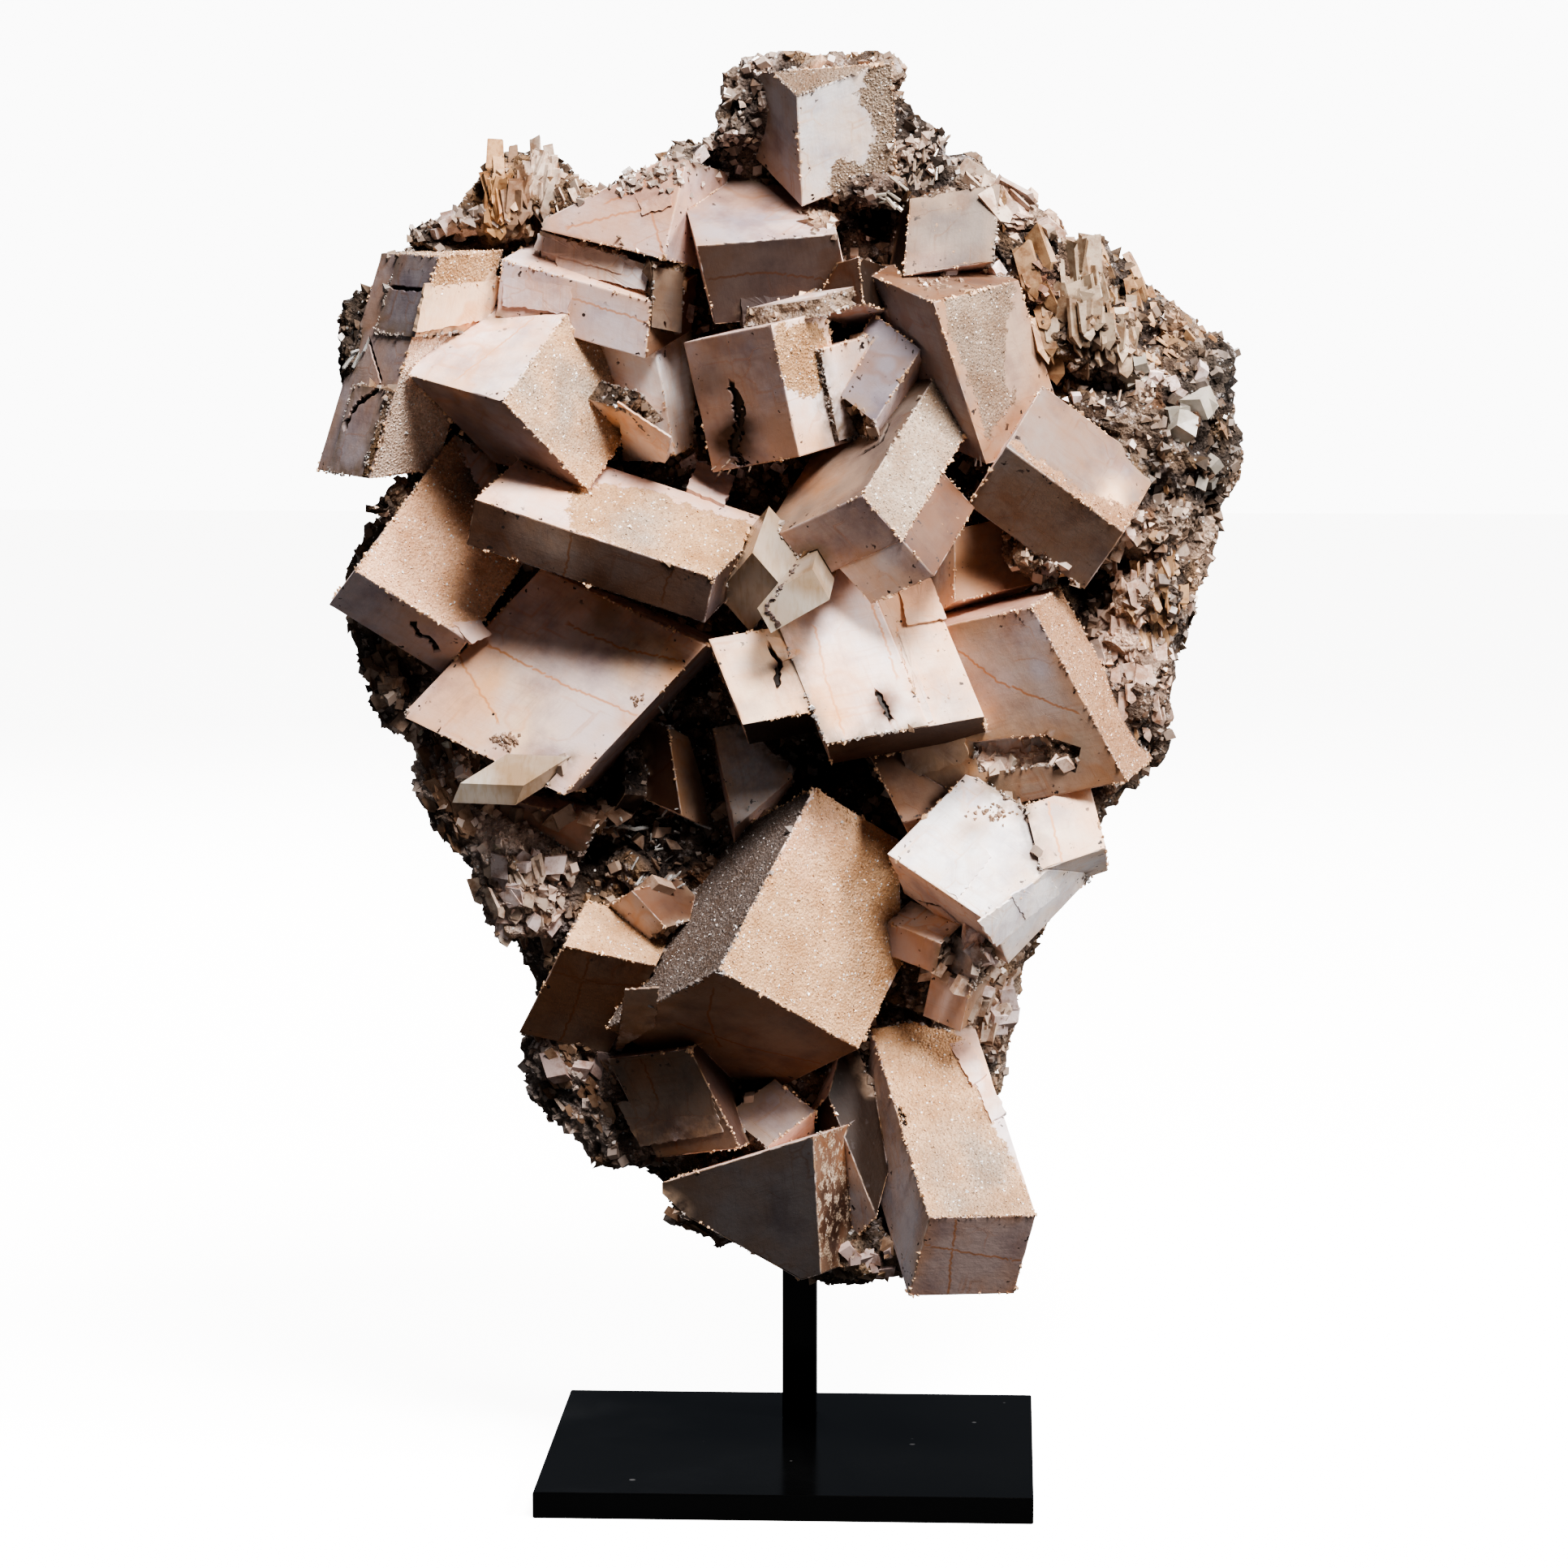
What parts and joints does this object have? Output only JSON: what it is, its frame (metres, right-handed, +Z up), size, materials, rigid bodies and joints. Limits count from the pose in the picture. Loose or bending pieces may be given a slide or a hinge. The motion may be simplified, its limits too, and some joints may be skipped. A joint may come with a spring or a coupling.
{
  "type": "mineral specimen",
  "caption": "Cluster of large rhombohedral dolomite crystals with calcite on rock, mounted on a square post and a flat base plate for display.",
  "frame": {"origin": "centre of the base plate's underside", "axes": "+Z up along the post, +X to the right as the crystals are seen from the front, +Y away from the front"},
  "size_m": [0.337, 0.152, 0.5185],
  "materials": {
    "dolomite": "crystal faces, partly sugary, on rough rock",
    "calcite_centre": "waxy, lets some light through",
    "calcite_left": "waxy, lets some light through",
    "stand_post": "satin black",
    "stand_base": "gloss black"
  },
  "bodies": {
    "root": {"dolomite_cluster": "dolomite", "calcite_centre": "calcite_centre", "calcite_left": "calcite_left", "stand_post": "stand_post", "stand_base": "stand_base"}
  },
  "joints": []
}
